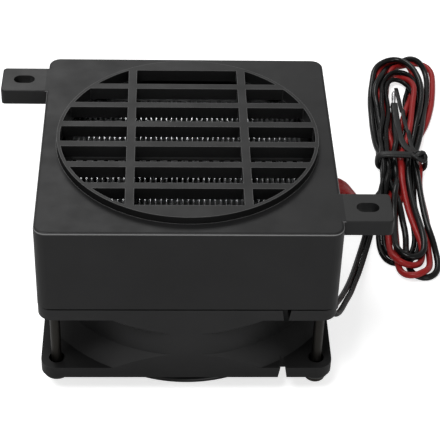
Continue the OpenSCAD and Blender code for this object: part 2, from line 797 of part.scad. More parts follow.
stator_coils();
motor_board();
finger_guard();
guard_screws();
color([0.65, 0.09, 0.09]) swept_lead(red_route, lead_d);  // heater_lead_red
color(dark_plastic) swept_lead(black_route, lead_d);  // heater_lead_black
color(dark_plastic) swept_lead(fan_front_route, fan_lead_d);  // fan_lead_front
color(dark_plastic) swept_lead(fan_back_route, fan_lead_d);  // fan_lead_back
lead_hank();
wire_tie();
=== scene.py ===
"""Looks of a fan heater module: camera, leads, materials, small parts and light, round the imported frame.

Lengths in the tables are in millimetres, in the frame of the CAD model. Blender works in metres.
A colour is linear, and the scale of a noise is per metre.
"""
import math

import bmesh
import bpy
import numpy as np
from mathutils import Matrix, Vector


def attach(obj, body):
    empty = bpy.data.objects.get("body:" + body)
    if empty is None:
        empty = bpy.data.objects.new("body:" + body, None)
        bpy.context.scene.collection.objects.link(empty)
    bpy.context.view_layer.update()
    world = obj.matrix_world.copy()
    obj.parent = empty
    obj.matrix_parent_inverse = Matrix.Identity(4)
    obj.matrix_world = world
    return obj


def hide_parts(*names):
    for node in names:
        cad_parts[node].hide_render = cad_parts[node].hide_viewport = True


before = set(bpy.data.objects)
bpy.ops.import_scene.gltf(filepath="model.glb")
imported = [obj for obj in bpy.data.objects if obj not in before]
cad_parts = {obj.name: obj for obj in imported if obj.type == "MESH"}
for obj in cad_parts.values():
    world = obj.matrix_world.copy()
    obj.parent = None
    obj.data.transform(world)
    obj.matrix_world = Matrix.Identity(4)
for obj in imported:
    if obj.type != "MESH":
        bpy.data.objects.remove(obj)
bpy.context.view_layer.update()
scene = bpy.context.scene
MM = 0.001
HEATER = "heater_body"

# Camera, from a fit of the photograph's edges to the standard fan frame. Angles are in degrees, the focal
# length and the row of the camera's axis are in pixels of the photograph, the sensor is in millimetres, and
# the clipping distances are in metres.
CAMERA_PLACE = (-7.43, -339.14, 310.76)
CAMERA_PITCH, CAMERA_YAW, CAMERA_ROLL = 39.03, 2.85, 2.03
PHOTO_SIDE = 440
FOCAL_LENGTH = 1540.4
AXIS_ROW = 203.98
SENSOR = 36
CLIP = (0.01, 20)


def make_camera():
    place = Vector(CAMERA_PLACE) * MM
    pitch, yaw, roll = (math.radians(a) for a in (CAMERA_PITCH, CAMERA_YAW, CAMERA_ROLL))
    forward = Vector((math.sin(yaw) * math.cos(pitch), math.cos(yaw) * math.cos(pitch), -math.sin(pitch)))
    level = Vector((math.cos(yaw), -math.sin(yaw), 0))
    above = level.cross(forward)
    right = level * math.cos(roll) + above * math.sin(roll)
    up = above * math.cos(roll) - level * math.sin(roll)
    data = bpy.data.cameras.new("camera")
    data.sensor_width = SENSOR
    data.lens = SENSOR * FOCAL_LENGTH / PHOTO_SIDE
    data.shift_y = (AXIS_ROW - PHOTO_SIDE / 2) / PHOTO_SIDE
    data.clip_start, data.clip_end = CLIP
    camera = bpy.data.objects.new("camera", data)
    matrix = Matrix((right, up, -forward)).transposed().to_4x4()
    matrix.translation = place
    camera.matrix_world = matrix
    scene.collection.objects.link(camera)
    scene.camera = camera


make_camera()

# Routes from the housing and the fan to the bundle, as in the CAD source
RED_ROUTE = [
    [36.1, 14, 47.9], [36.1, 14, 44.5], [36.1, 14, 41.1], [36.1, 14, 38], [36.4, 14, 36.3],
    [37.1, 14, 35.1], [38.1, 14, 34.3], [39.3, 14.1, 33.8], [40.8, 14.5, 33.4], [43.2, 15.3, 32.3],
    [45.4, 16.4, 30.6], [47.3, 17.9, 28.1], [49.6, 20.4, 23.6], [52.2, 24.2, 18], [55.2, 29, 12.4],
    [58.2, 33.6, 8.4], [60.9, 37.7, 6.1], [63.2, 41.4, 5.2]]
BLACK_ROUTE = [
    [36.1, 9.5, 42.9], [36.1, 9.5, 40.3], [36.2, 9.5, 37.9], [36.7, 9.5, 35.9], [37.8, 9.5, 34.4],
    [39.3, 9.7, 33.3], [40.8, 10.1, 32.4], [42.6, 11.4, 30.2], [44.4, 13.8, 26.7], [46.6, 17.2, 21.8],
    [49.2, 21.4, 16.3], [52.2, 26.2, 11], [55.6, 31.3, 6.7], [58.9, 36, 4.1], [61.6, 40, 3],
    [63.2, 42.6, 2.9]]
FAN_FRONT_ROUTE = [
    [7, -6.6, 26.9], [10.2, -9.1, 27.7], [15.5, -13.3, 27.8], [21.3, -17.8, 27.3], [27.2, -22.4, 26.5],
    [32.3, -26.3, 26.4], [35, -28.4, 26.3], [37.1, -29.9, 25.9], [38.6, -30.7, 24.8],
    [39.5, -30.7, 23.2], [40.3, -30.4, 21.7], [41.2, -29.2, 20.3], [42.4, -26.8, 18.9],
    [43.7, -23.4, 17.5], [45.3, -18.6, 15.5], [47.4, -12.3, 12.8], [49.3, -5.6, 10.2], [51.3, 1.3, 7.6],
    [53.2, 8.3, 5.2], [55.1, 15.4, 3.3], [57, 22.4, 2], [58.9, 29.4, 1.3], [60.8, 36.2, 0.9],
    [62.6, 42.8, 0.8], [64.2, 48.8, 0.8]]
FAN_BACK_ROUTE = [
    [8.2, -5.2, 26.9], [11.4, -7.7, 27.7], [16.7, -11.9, 27.8], [22.5, -16.4, 27.3], [28.4, -21, 26.5],
    [33.3, -24.9, 26.4], [35.7, -26.7, 26.3], [37.6, -28.1, 26], [39, -28.9, 25], [39.8, -29, 23.4],
    [40.3, -28.6, 22.1], [40.9, -27.2, 21], [41.5, -24.9, 20], [42.5, -22, 18.5], [43.9, -18, 16.4],
    [46, -11.7, 13.6], [48, -5, 10.8], [49.9, 1.9, 8.2], [51.7, 8.9, 5.6], [53.5, 15.8, 3.5],
    [55.4, 22.8, 2], [57.3, 29.8, 1.3], [59.2, 36.6, 0.9], [61, 43.2, 0.8], [62.6, 49.2, 0.8],
    [63.9, 54.6, 0.8]]

# Folds of the bundle. X and Y are where a point would be seen if it lay FLAT_Z high, and Z is about how high
# it lies. A new line starts where a lead comes through the waist. raised() moves the points to their own
# heights, and settle() lays the leads on each other.
FLAT_Z = 2
BLACK_FOLDS = [
    [65.6, 48, 1.8], [67.5, 56, 2],
    [67.8, 65.5, 2.2], [68, 76, 2.4], [68, 88, 2.6], [68, 99, 2.6], [69.2, 108.5, 2.2],
    [71.9, 115.6, 1.6], [75.6, 120.6, 1.2], [79.6, 123.8, 1.6], [83.4, 124.6, 2.2], [86.3, 121.8, 2.6],
    [87.3, 116, 2.6], [86.8, 108, 2.8], [85.5, 99.4, 2.8], [83, 88.7, 2.8], [80.2, 78.8, 2.8],
    [78, 70.4, 2.8],
    [77.6, 65.5, 4], [77.2, 59, 4.8], [76.9, 51.5, 4.8], [76.8, 41.2, 4.8], [76.9, 32.7, 4.6],
    [77, 24.9, 3.4], [77.6, 16.6, 1.8], [77.2, 10.6, 1.2], [75.4, 5.6, 1], [72.9, 3.9, 1], [70.3, 5, 1],
    [68.6, 8.4, 1], [67.9, 12.5, 1], [68.1, 17, 1], [68.8, 23, 1], [69.2, 30, 1.4], [68.5, 40, 2.8],
    [67.2, 50, 2.9], [66, 58, 2.6],
    [65.5, 65.5, 2.4], [65.2, 71.5, 3.2], [65.1, 81.5, 3.2], [65.8, 93.2, 2.8], [67.2, 106.5, 3],
    [69.3, 116.8, 3.8], [72.8, 123.4, 4.6], [76.4, 126.2, 5], [80.3, 124.4, 5], [83, 119, 5],
    [84, 111.7, 4.6], [83.4, 102.4, 4.2], [81.6, 92.2, 4.2], [78.9, 81.6, 4.4], [76, 71.5, 4.4],
    [74.6, 65.5, 4.2], [74, 57, 4.6], [73.8, 48.8, 5], [73.9, 37.6, 5], [74.3, 30, 5], [74.3, 24.5, 5],
    [74.2, 20, 5], [73, 16.6, 5], [70, 15.1, 5], [67, 16.6, 5], [65.8, 20, 5], [65.8, 24.5, 5],
    [66.4, 31.1, 5], [67.6, 43.7, 5], [69.2, 56.7, 4.4],
    [70, 65.5, 4.2], [71.2, 74, 4.6], [72.3, 84.5, 4.6], [73.2, 91, 4.2], [73.7, 97.5, 3.8]]
RED_FOLDS = [
    [66.2, 45, 3.4], [67.9, 51, 1.6], [67.7, 57, 1],
    [67.4, 65.5, 1], [68.8, 75, 1], [70.4, 88, 1], [70.5, 99, 1], [71.6, 108, 1], [74.8, 115.4, 1],
    [79.4, 120.6, 1], [83.9, 123.1, 1], [87.2, 121.7, 1], [89, 117.5, 1], [88.9, 111.7, 1],
    [87.5, 102.5, 1], [85.4, 93.4, 1], [82.6, 84.6, 1], [79.2, 75, 1],
    [77.1, 65.5, 1], [76.6, 58, 1], [76.4, 50, 1], [76.4, 42, 1], [76.6, 32, 1], [76, 23.5, 1.6],
    [75.4, 17.6, 2.4], [74.8, 12.4, 2.8], [72.8, 8, 3.1], [69.8, 6, 3.2], [66.8, 7.4, 3.2],
    [65.2, 11.4, 3], [65, 16.4, 3], [66.2, 24, 3], [66.6, 34, 2], [68.5, 46, 1.1], [70.9, 57, 1.2],
    [71.8, 65.5, 1.2], [73.2, 75, 1.4], [76, 86, 1.6], [79, 97, 1.4], [81.6, 107, 1.6], [82.2, 113.5, 2],
    [81.2, 119, 1.4], [77.8, 121.9, 1.4], [74.3, 121.5, 1.3], [70.9, 116.2, 1.2], [69.1, 108, 1],
    [68.9, 99, 1.6], [69.3, 88, 3], [69.6, 76, 3],
    [70.4, 65.5, 1], [70, 57, 1], [68.2, 45.5, 1], [63.9, 34, 2.4], [63.4, 25.8, 2.9], [63.7, 19, 2.9],
    [65, 13, 3], [67.8, 10.3, 3.4], [71, 12.6, 3.6], [73.1, 17.6, 3.4], [73.5, 24, 3.2], [72.7, 31, 3.6],
    [72.1, 40, 4], [71.6, 51.4, 4.8], [71.8, 60, 4.4],
    [72.2, 65.5, 4.2], [73.7, 71, 4.6], [76, 77, 4.8], [78.4, 88.6, 4.4], [80.2, 98, 4.2],
    [81.2, 104.6, 3.8], [80.8, 110.6, 3.2], [78.6, 115, 2.6], [75, 115.4, 2.4]]
# The middle line between the two fan leads
FAN_FOLDS = [
    [66.2, 65.5, 0.8], [66.7, 76, 0.8], [67.2, 88, 0.8], [67.8, 99, 0.8], [69.2, 107, 0.8],
    [71.4, 112.9, 0.8], [75.4, 116, 0.8], [79.3, 114.2, 0.8], [81, 109.3, 0.8], [80.6, 102, 0.8],
    [79, 92, 0.8], [76.6, 80, 0.8], [74.4, 71, 0.8],
    [73.4, 65.5, 0.8], [73.2, 56, 0.8], [73, 44, 0.8], [72.7, 32, 0.8], [72.4, 23.4, 0.8],
    [70.7, 17, 0.8], [67.2, 12.8, 0.9], [63.6, 13.2, 1.6], [61.7, 18.2, 2], [61.7, 25, 2.3],
    [62.5, 34, 2.6], [63.9, 46, 3.2], [65.2, 56, 3.8],
    [66.6, 65.5, 3.8], [67.7, 76, 4], [69.2, 87.3, 3.4], [70.3, 99, 3.2], [71, 106.6, 3.4],
    [72.9, 113.2, 4], [76.8, 117.4, 4.2], [80.7, 114.8, 4], [81.8, 108.4, 3.6], [81.2, 100, 3],
    [79.3, 90, 2.6], [77.8, 82, 2.6]]
FAN_PAIR_HALF = 0.8
HEATER_LEAD_D = 2
FAN_LEAD_D = 1.65

# How far the points of the leads, of the small pieces and of the tie's tails lie apart
STEP = 1.6
FINE_STEP = 0.5
TAIL_STEP = 1.2

# The tie's place and thickness, and the middle and half width of the waist that it squeezes
TIE_Y = 61
TIE_T = 1.4
WAIST_X = 71.7
WAIST_HALF = 7.1

# How the leads settle. Lengths are in millimetres, and a share is how much of a fault one round makes good.
ROUNDS = 360
CLEARANCE = 0.04
FLOOR_CLEARANCE = 0.08
PUSH_SHARE = 0.34
# Every so many rounds the pairs that may touch are listed: those within reach of each other, and on one
# lead only those that lie further apart along it
LIST_EVERY = 12
LIST_REACH = 4.4
OWN_REACH = 7
# A point is drawn back to where it started, less along Z
HOME_SHARE = 0.02
HOME_BY_AXIS = (1, 1, 0.3)
# What a point sinks in a round, and how much more so near the tie
SINK = 0.012
SINK_AT_TIE = 0.02
SINK_REACH = 6
# Bends are evened out several times a round, and those tighter than TIGHTEST diameters are eased more
EASE_ROUNDS = 4
EASE_SHARE = 0.2
TIGHTEST = 2.2
TIGHT_SHARE = 0.06
# The waist widens by the square of the distance from the straight stretch under the tie, and the ring
# lifts what lies on it, less and less to both sides
WAIST_STRAIGHT = 1.5
WAIST_WIDENS = 0.012
WAIST_REACH = 12
WAIST_SHARE = 0.5
RING_LIFT = TIE_T + 0.05
RING_LIFT_FLAT = 1.6
RING_LIFT_REACH = 5


def spline(points, step):
    """Points about one step apart on a smooth line through the given ones."""
    p = np.array(points, float)
    p = np.vstack([2 * p[0] - p[1], p, 2 * p[-1] - p[-2]])
    line = [p[1]]
    for a, b, c, d in zip(p, p[1:], p[2:], p[3:]):
        count = max(1, round(np.linalg.norm(c - b) / step))
        for t in np.arange(1, count + 1) / count:
            line.append(0.5 * (2 * b + (c - a) * t + (2 * a - 5 * b + 4 * c - d) * t**2
                               + (3 * b - a - 3 * c + d) * t**3))
    return np.array(line)


def offset(points, side):
    """The same line moved sideways in plan."""
    p = np.array(points, float)
    run = np.gradient(p[:, :2], axis=0)
    run /= np.linalg.norm(run, axis=1)[:, None]
    p[:, :2] += side * np.stack([-run[:, 1], run[:, 0]], 1)
    return p


# How far the camera's line of sight to the bundle runs along X and Y for each millimetre that it drops
SIGHT_RUN = (0.26, 1.4)


def raised(points):
    """Where points at their own heights have to lie to be seen in the same places as at FLAT_Z."""
    p = np.array(points, float)
    p[:, :2] -= np.outer(p[:, 2] - FLAT_Z, SIGHT_RUN)
    return p


def nearest(p, a, b):
    """Where on the step that follows point b the lead is closest to point a, and the way from there to a."""
    seg = p[b + 1] - p[b]
    t = np.clip(((p[a] - p[b]) * seg).sum(1) / (seg * seg).sum(1), 0, 1)[:, None]
    return t, p[a] - p[b] - t * seg


def near_pairs(p, own):
    """Pairs of a point and the step of a lead that may touch it."""
    index = np.arange(len(p))
    near = np.linalg.norm(p[:, None] - p[None], axis=2) < LIST_REACH
    apart = (own[:, None] != own[None]) | (np.abs(index[:, None] - index[None]) * STEP > OWN_REACH)
    a, b = np.nonzero(near & apart & (index[None] + 1 < len(p)))
    same = own[b] == own[np.minimum(b + 1, len(p) - 1)]
    return a[same], b[same]


def push_apart(p, r, a, b):
    """How far the points move so that leads that share room part a little."""
    t, away = nearest(p, a, b)
    gap = np.linalg.norm(away, axis=1)
    short = r[a] + r[b] + CLEARANCE - gap
    hit = short > 0
    push = (away[hit] / np.maximum(gap[hit], 1e-6)[:, None]) * (short[hit] * PUSH_SHARE)[:, None]
    move = np.zeros_like(p)
    count = np.zeros(len(p))
    np.add.at(move, a[hit], push)
    np.add.at(move, b[hit], -push * (1 - t[hit]))
    np.add.at(move, b[hit] + 1, -push * t[hit])
    np.add.at(count, a[hit], 1)
    np.add.at(count, b[hit], 1)
    return move / np.maximum(1, count / 2)[:, None]


def even_bends(p, r, m):
    """Moves the points m so that the leads bend evenly, and not too tightly."""
    for _ in range(EASE_ROUNDS):
        ease = np.zeros_like(p)
        ease[m] = 0.5 * (p[m - 1] + p[m + 1]) - p[m]
        p[m] += EASE_SHARE * (ease[m] - 0.5 * (ease[m - 1] + ease[m + 1]))
        # The radius of a bend is the square of its chord over 8 times its height
        chord = np.linalg.norm(p[m + 1] - p[m - 1], axis=1)
        tight = 8 * np.linalg.norm(ease[m], axis=1) * TIGHTEST * 2 * r[m] > chord**2
        p[m[tight]] += TIGHT_SHARE * ease[m[tight]]


def squeeze_waist(p, r, free):
    """Presses the free points together under the tie, and keeps them above the floor and the tie's ring."""
    from_tie = np.abs(p[:, 1] - TIE_Y)
    room = WAIST_HALF - r + WAIST_WIDENS * np.maximum(0, from_tie - WAIST_STRAIGHT) ** 2
    over = np.clip(p[:, 0], WAIST_X - room, WAIST_X + room) - p[:, 0]
    p[:, 0] += np.where(free & (from_tie < WAIST_REACH), WAIST_SHARE * over, 0)
    lift = RING_LIFT * np.clip(RING_LIFT_FLAT - from_tie / RING_LIFT_REACH, 0, 1) ** 2
    p[:, 2] = np.where(free, np.maximum(p[:, 2], r + FLOOR_CLEARANCE + lift), p[:, 2])


def settle(lines, held, radii):
    """Pushes crossing leads apart, lets them down on each other and evens out their bends.

    The first points of each line, as many as held says, stay where they are."""
    starts = np.cumsum([0] + [len(line) for line in lines])
    p = np.vstack(lines)
    home = p.copy()
    r = np.concatenate([np.full(len(line), radius) for line, radius in zip(lines, radii)])
    own = np.concatenate([np.full(len(line), i) for i, line in enumerate(lines)])
    free = np.ones(len(p), bool)
    for start, count in zip(starts, held):
        free[start:start + count] = False
    inner = free.copy()
    inner[starts[:-1]] = inner[starts[1:] - 1] = False
    bending = np.nonzero(inner)[0]
    for turn in range(ROUNDS):
        if turn % LIST_EVERY == 0:
            a, b = near_pairs(p, own)
        move = push_apart(p, r, a, b)
        p[free] += move[free] + HOME_SHARE * (home - p)[free] * HOME_BY_AXIS
        p[free, 2] -= SINK + SINK_AT_TIE * np.exp(-((p[free, 1] - TIE_Y) / SINK_REACH) ** 2)
        even_bends(p, r, bending)
        squeeze_waist(p, r, free)
    depth = r[a] + r[b] - np.linalg.norm(nearest(p, a, b)[1], axis=1)
    print("leads settled, deepest touch %.2f mm, highest %.2f mm" % (depth.max(), (p[:, 2] + r)[free].max()))
    return [p[start:end] for start, end in zip(starts, starts[1:])]


# Each lead's name, its route, its folds and its diameter
LEADS = [
    ("lead_red", RED_ROUTE, RED_FOLDS, HEATER_LEAD_D),
    ("lead_black", BLACK_ROUTE, BLACK_FOLDS, HEATER_LEAD_D),
    ("lead_fan_front", FAN_FRONT_ROUTE, offset(FAN_FOLDS, -FAN_PAIR_HALF), FAN_LEAD_D),
    ("lead_fan_back", FAN_BACK_ROUTE, offset(FAN_FOLDS, FAN_PAIR_HALF), FAN_LEAD_D),
]
# The last points of a route may move with the folds, so that the lead runs on smoothly
LOOSE_POINTS = 6


def lay_leads():
    lines, held = [], []
    for _, route, folds, _ in LEADS:
        lines.append(spline(np.vstack([route, raised(folds)]), STEP))
        held.append(len(spline(route, STEP)) - LOOSE_POINTS)
    return settle(lines, held, [d / 2 for *_, d in LEADS])


def thin(line, gap):
    """Every so many points of a line, its ends kept."""
    keep = list(range(0, len(line) - gap // 2, gap)) + [len(line) - 1]
    return line[keep]


CURVE_STEPS = 5
# Each curve takes every so many of the settled points
KEEP_EVERY = 2


def curve(name, points, d, material):
    """A round tube along a smooth open line."""
    data = bpy.data.curves.new(name, "CURVE")
    data.dimensions = "3D"
    data.bevel_depth = d / 2 * MM
    data.bevel_resolution = CURVE_STEPS
    data.use_fill_caps = True
    data.resolution_u = CURVE_STEPS
    line = data.splines.new("BEZIER")
    line.bezier_points.add(len(points) - 1)
    for q, p in zip(line.bezier_points, points):
        q.co = Vector([float(x) for x in p]) * MM
        q.handle_left_type = q.handle_right_type = "AUTO"
    obj = bpy.data.objects.new(name, data)
    scene.collection.objects.link(obj)
    data.materials.append(material)
    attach(obj, HEATER)
    return obj


def length_of(points):
    """In metres, from points in millimetres."""
    return float(np.linalg.norm(np.diff(points, axis=0), axis=1).sum()) * MM


# Numbers that the materials share, with lengths in metres
NOISE_ROUGHNESS = 0.55
MASK_SAMPLES = 8
PLASTIC_VARIES = 0.12
SINK_WAVE_DEPTH = 2e-5
METAL_VARIES = 0.1
METAL_GRAIN_DEPTH = 4e-6
# The grey of the painted shade in hollows
HOLLOW_GREY = 0.002
# A sharp edge is where the true normal agrees less with one that is rounded over this reach
EDGE_REACH = 0.0004
FACE_AGREES, EDGE_AGREES = 0.97, 0.75
LOWEST_EDGE_NORMAL = -0.1
ROUND_EDGE_POWER = 9
LEVEL_NORMAL = 0.9


def shader(name, rough, metal=0.0, spec=0.5):
    """A material with its Principled shader, and the node tree to build on."""
    material = bpy.data.materials.new(name)
    material.use_nodes = True
    tree = material.node_tree
    tree.nodes.clear()
    out = tree.nodes.new("ShaderNodeOutputMaterial")
    bsdf = tree.nodes.new("ShaderNodeBsdfPrincipled")
    bsdf.inputs["Roughness"].default_value = rough
    bsdf.inputs["Metallic"].default_value = metal
    bsdf.inputs["Specular IOR Level"].default_value = spec
    tree.links.new(bsdf.outputs[0], out.inputs[0])
    return material, tree, bsdf


def place(tree, stretch=(1, 1, 1)):
    """The point on the piece, in metres, stretched along an axis for a drawn grain."""
    coord = tree.nodes.new("ShaderNodeTexCoord")
    mapping = tree.nodes.new("ShaderNodeMapping")
    mapping.inputs["Scale"].default_value = stretch
    tree.links.new(coord.outputs["Object"], mapping.inputs["Vector"])
    return mapping.outputs[0]


def noise(tree, vector, scale, detail):
    node = tree.nodes.new("ShaderNodeTexNoise")
    node.inputs["Scale"].default_value = scale
    node.inputs["Detail"].default_value = detail
    node.inputs["Roughness"].default_value = NOISE_ROUGHNESS
    tree.links.new(vector, node.inputs["Vector"])
    return node.outputs["Fac"]


def spread(tree, value, low, high, socket):
    """The value from about 0.3 to 0.7 spread over a range of numbers."""
    node = tree.nodes.new("ShaderNodeMapRange")
    node.inputs["From Min"].default_value = 0.3
    node.inputs["From Max"].default_value = 0.7
    node.inputs["To Min"].default_value = low
    node.inputs["To Max"].default_value = high
    tree.links.new(value, node.inputs["Value"])
    tree.links.new(node.outputs[0], socket)


def blend_colours(tree, value, stops, socket):
    ramp = tree.nodes.new("ShaderNodeValToRGB")
    element = ramp.color_ramp.elements
    while len(element) < len(stops):
        element.new(0.5)
    for e, (at, colour) in zip(element, stops):
        e.position = at
        e.color = (*colour, 1)
    tree.links.new(value, ramp.inputs[0])
    tree.links.new(ramp.outputs[0], socket)


def relief(tree, bsdf, heights):
    """Bumps on top of each other: pairs of a height value and its depth in metres."""
    normal = None
    for value, depth in heights:
        bump = tree.nodes.new("ShaderNodeBump")
        bump.inputs["Strength"].default_value = 1
        bump.inputs["Distance"].default_value = depth
        tree.links.new(value, bump.inputs["Height"])
        if normal:
            tree.links.new(normal, bump.inputs["Normal"])
        normal = bump.outputs[0]
    tree.links.new(normal, bsdf.inputs["Normal"])


def calculate(tree, operation, *values):
    """One step of arithmetic on shader values and plain numbers."""
    node = tree.nodes.new("ShaderNodeMath")
    node.operation = operation
    for socket, value in zip(node.inputs, values):
        if isinstance(value, (int, float)):
            socket.default_value = value
        else:
            tree.links.new(value, socket)
    return node.outputs[0]


def parts_of(tree, vector):
    """X, Y and Z of a vector."""
    split = tree.nodes.new("ShaderNodeSeparateXYZ")
    tree.links.new(vector, split.inputs[0])
    return split.outputs


def from_middle(tree):
    """Distance of a point from the part's middle plane, along X."""
    return calculate(tree, "ABSOLUTE", parts_of(tree, place(tree))["X"])


def edges_of(tree):
    """1 on the upper edges of a part and 0 on its faces."""
    rounded = tree.nodes.new("ShaderNodeBevel")
    rounded.samples = MASK_SAMPLES
    rounded.inputs["Radius"].default_value = EDGE_REACH
    geometry = tree.nodes.new("ShaderNodeNewGeometry")
    agree = tree.nodes.new("ShaderNodeVectorMath")
    agree.operation = "DOT_PRODUCT"
    tree.links.new(rounded.outputs[0], agree.inputs[0])
    tree.links.new(geometry.outputs["Normal"], agree.inputs[1])
    mask = tree.nodes.new("ShaderNodeMapRange")
    mask.inputs["From Min"].default_value = FACE_AGREES
    mask.inputs["From Max"].default_value = EDGE_AGREES
    tree.links.new(agree.outputs["Value"], mask.inputs["Value"])
    upper = calculate(tree, "GREATER_THAN", parts_of(tree, rounded.outputs[0])["Z"], LOWEST_EDGE_NORMAL)
    sharp = calculate(tree, "MULTIPLY", mask.outputs[0], upper)
    # A rounded edge shows by its normal, which is neither upright nor level
    tilt = calculate(tree, "MAXIMUM", parts_of(tree, geometry.outputs["Normal"])["Z"], 0)
    off_middle = calculate(tree, "MULTIPLY_ADD", tilt, 2, -1)
    slope = calculate(tree, "SUBTRACT", 1, calculate(tree, "MULTIPLY", off_middle, off_middle))
    return calculate(tree, "MAXIMUM", sharp, calculate(tree, "POWER", slope, ROUND_EDGE_POWER))


def lay_over(tree, bsdf, grey, share):
    """Lays a grey over the colour so far, as strongly as share says."""
    before = bsdf.inputs["Base Color"].links[0].from_socket
    mix = tree.nodes.new("ShaderNodeMix")
    mix.data_type = "RGBA"
    mix.inputs["B"].default_value = (grey, grey, grey, 1)
    tree.links.new(share, mix.inputs["Factor"])
    tree.links.new(before, mix.inputs["A"])
    tree.links.new(mix.outputs["Result"], bsdf.inputs["Base Color"])


def paint_edge_highlight(tree, bsdf, grey, within=None):
    """Paints a highlight on the edges as a lighter grey, and only within a distance of the middle if one is
    given.
    """
    edges = edges_of(tree)
    if within:
        edges = calculate(tree, "MULTIPLY", edges, calculate(tree, "LESS_THAN", from_middle(tree), within))
    lay_over(tree, bsdf, grey, edges)


def shade_hollows(tree, bsdf, reach):
    """Painted shade: darkens the colour in hollows, by how closed in they are."""
    before = bsdf.inputs["Base Color"].links[0].from_socket
    openness = tree.nodes.new("ShaderNodeAmbientOcclusion")
    openness.samples = MASK_SAMPLES
    openness.inputs["Distance"].default_value = reach
    tree.links.new(before, openness.inputs["Color"])
    mix = tree.nodes.new("ShaderNodeMix")
    mix.data_type = "RGBA"
    mix.inputs["A"].default_value = (HOLLOW_GREY, HOLLOW_GREY, HOLLOW_GREY, 1)
    tree.links.new(openness.outputs["AO"], mix.inputs["Factor"])
    tree.links.new(openness.outputs["Color"], mix.inputs["B"])
    tree.links.new(mix.outputs["Result"], bsdf.inputs["Base Color"])


def paint_light_on_level(tree, bsdf, grey, beyond=None):
    """Painted light: a lighter grey on what faces up, and only beyond a distance from the middle if one is
    given.
    """
    geometry = tree.nodes.new("ShaderNodeNewGeometry")
    level = calculate(tree, "GREATER_THAN", parts_of(tree, geometry.outputs["Normal"])["Z"], LEVEL_NORMAL)
    if beyond:
        level = calculate(tree, "MULTIPLY", level, calculate(tree, "GREATER_THAN", from_middle(tree), beyond))
    lay_over(tree, bsdf, grey, level)


def moulded(name, colour, rough, spec, grain=1800, grain_depth=6e-6, level=None, level_beyond=None,
            edge_highlight=None, edge_within=None, hollow=None):
    """Moulded plastic: fine spark-eroded grain, slight sink waves and uneven gloss."""
    material, tree, bsdf = shader(name, rough, spec=spec)
    at = place(tree)
    dull, bright = ([c * (1 + change) for c in colour] for change in (-PLASTIC_VARIES, PLASTIC_VARIES))
    blend_colours(tree, noise(tree, at, scale=55, detail=4), [(0.3, dull), (0.5, colour), (0.7, bright)],
                  bsdf.inputs["Base Color"])
    spread(tree, noise(tree, at, scale=130, detail=5), rough - 0.05, rough + 0.06, bsdf.inputs["Roughness"])
    waves, pits = noise(tree, at, scale=34, detail=2), noise(tree, at, scale=grain, detail=2)
    relief(tree, bsdf, [(waves, SINK_WAVE_DEPTH), (pits, grain_depth)])
    # Painted light on what faces up
    if level:
        paint_light_on_level(tree, bsdf, level, level_beyond)
    # Painted highlight on the edges
    if edge_highlight:
        paint_edge_highlight(tree, bsdf, edge_highlight, edge_within)
    # Painted shade in the hollows
    if hollow:
        shade_hollows(tree, bsdf, hollow)
    return material


def metal(name, colour, rough, stretch=(1, 1, 1)):
    """Bare metal with a drawn or rolled grain."""
    material, tree, bsdf = shader(name, rough, metal=1)
    dull = [c * (1 - METAL_VARIES) for c in colour]
    blend_colours(tree, noise(tree, place(tree), scale=120, detail=4), [(0.35, dull), (0.65, colour)],
                  bsdf.inputs["Base Color"])
    fine = noise(tree, place(tree, stretch), scale=900, detail=3)
    spread(tree, fine, rough - 0.06, rough + 0.08, bsdf.inputs["Roughness"])
    relief(tree, bsdf, [(fine, METAL_GRAIN_DEPTH)])
    return material


def insulation(name, colour, dark, rough, spec=0.2):
    """Extruded wire insulation: smooth, with faint smudges."""
    material, tree, bsdf = shader(name, rough, spec=spec)
    at = place(tree)
    blend_colours(tree, noise(tree, at, scale=160, detail=4), [(0.32, dark), (0.6, colour)],
                  bsdf.inputs["Base Color"])
    spread(tree, noise(tree, at, scale=420, detail=3), rough - 0.04, rough + 0.06, bsdf.inputs["Roughness"])
    relief(tree, bsdf, [(noise(tree, at, scale=90, detail=2), 1e-5)])
    return material


def fired(name, colour, rough):
    """Ceramic or sintered magnet: matt, with fine pores."""
    material, tree, bsdf = shader(name, rough)
    at = place(tree)
    pores = noise(tree, at, scale=2600, detail=3)
    blend_colours(tree, pores, [(0.35, [c * 0.7 for c in colour]), (0.55, colour)], bsdf.inputs["Base Color"])
    relief(tree, bsdf, [(pores, 1.5e-5)])
    return material


def printed_board(name):
    """Board lacquer over faint copper tracks."""
    material, tree, bsdf = shader(name, 0.3)
    at = place(tree)
    tracks = tree.nodes.new("ShaderNodeTexVoronoi")
    tracks.feature = "DISTANCE_TO_EDGE"
    tracks.inputs["Scale"].default_value = 260
    tree.links.new(at, tracks.inputs["Vector"])
    blend_colours(tree, tracks.outputs["Distance"], [
        (0.06, (0.02, 0.12, 0.035)), (0.12, (0.012, 0.06, 0.02))], bsdf.inputs["Base Color"])
    relief(tree, bsdf, [(noise(tree, at, scale=900, detail=2), 6e-6)])
    return material


def wound_copper(name):
    """Enamelled copper wire, turn beside turn."""
    material, tree, bsdf = shader(name, 0.32, metal=0.85)
    at = place(tree)
    wave = tree.nodes.new("ShaderNodeTexWave")
    wave.wave_type, wave.bands_direction = "BANDS", "Z"
    wave.inputs["Scale"].default_value = 900
    wave.inputs["Distortion"].default_value = 1.5
    tree.links.new(at, wave.inputs["Vector"])
    blend_colours(tree, wave.outputs["Fac"], [(0.1, (0.2, 0.06, 0.02)), (0.6, (0.62, 0.25, 0.1))],
                  bsdf.inputs["Base Color"])
    relief(tree, bsdf, [(wave.outputs["Fac"], 6e-5)])
    return material


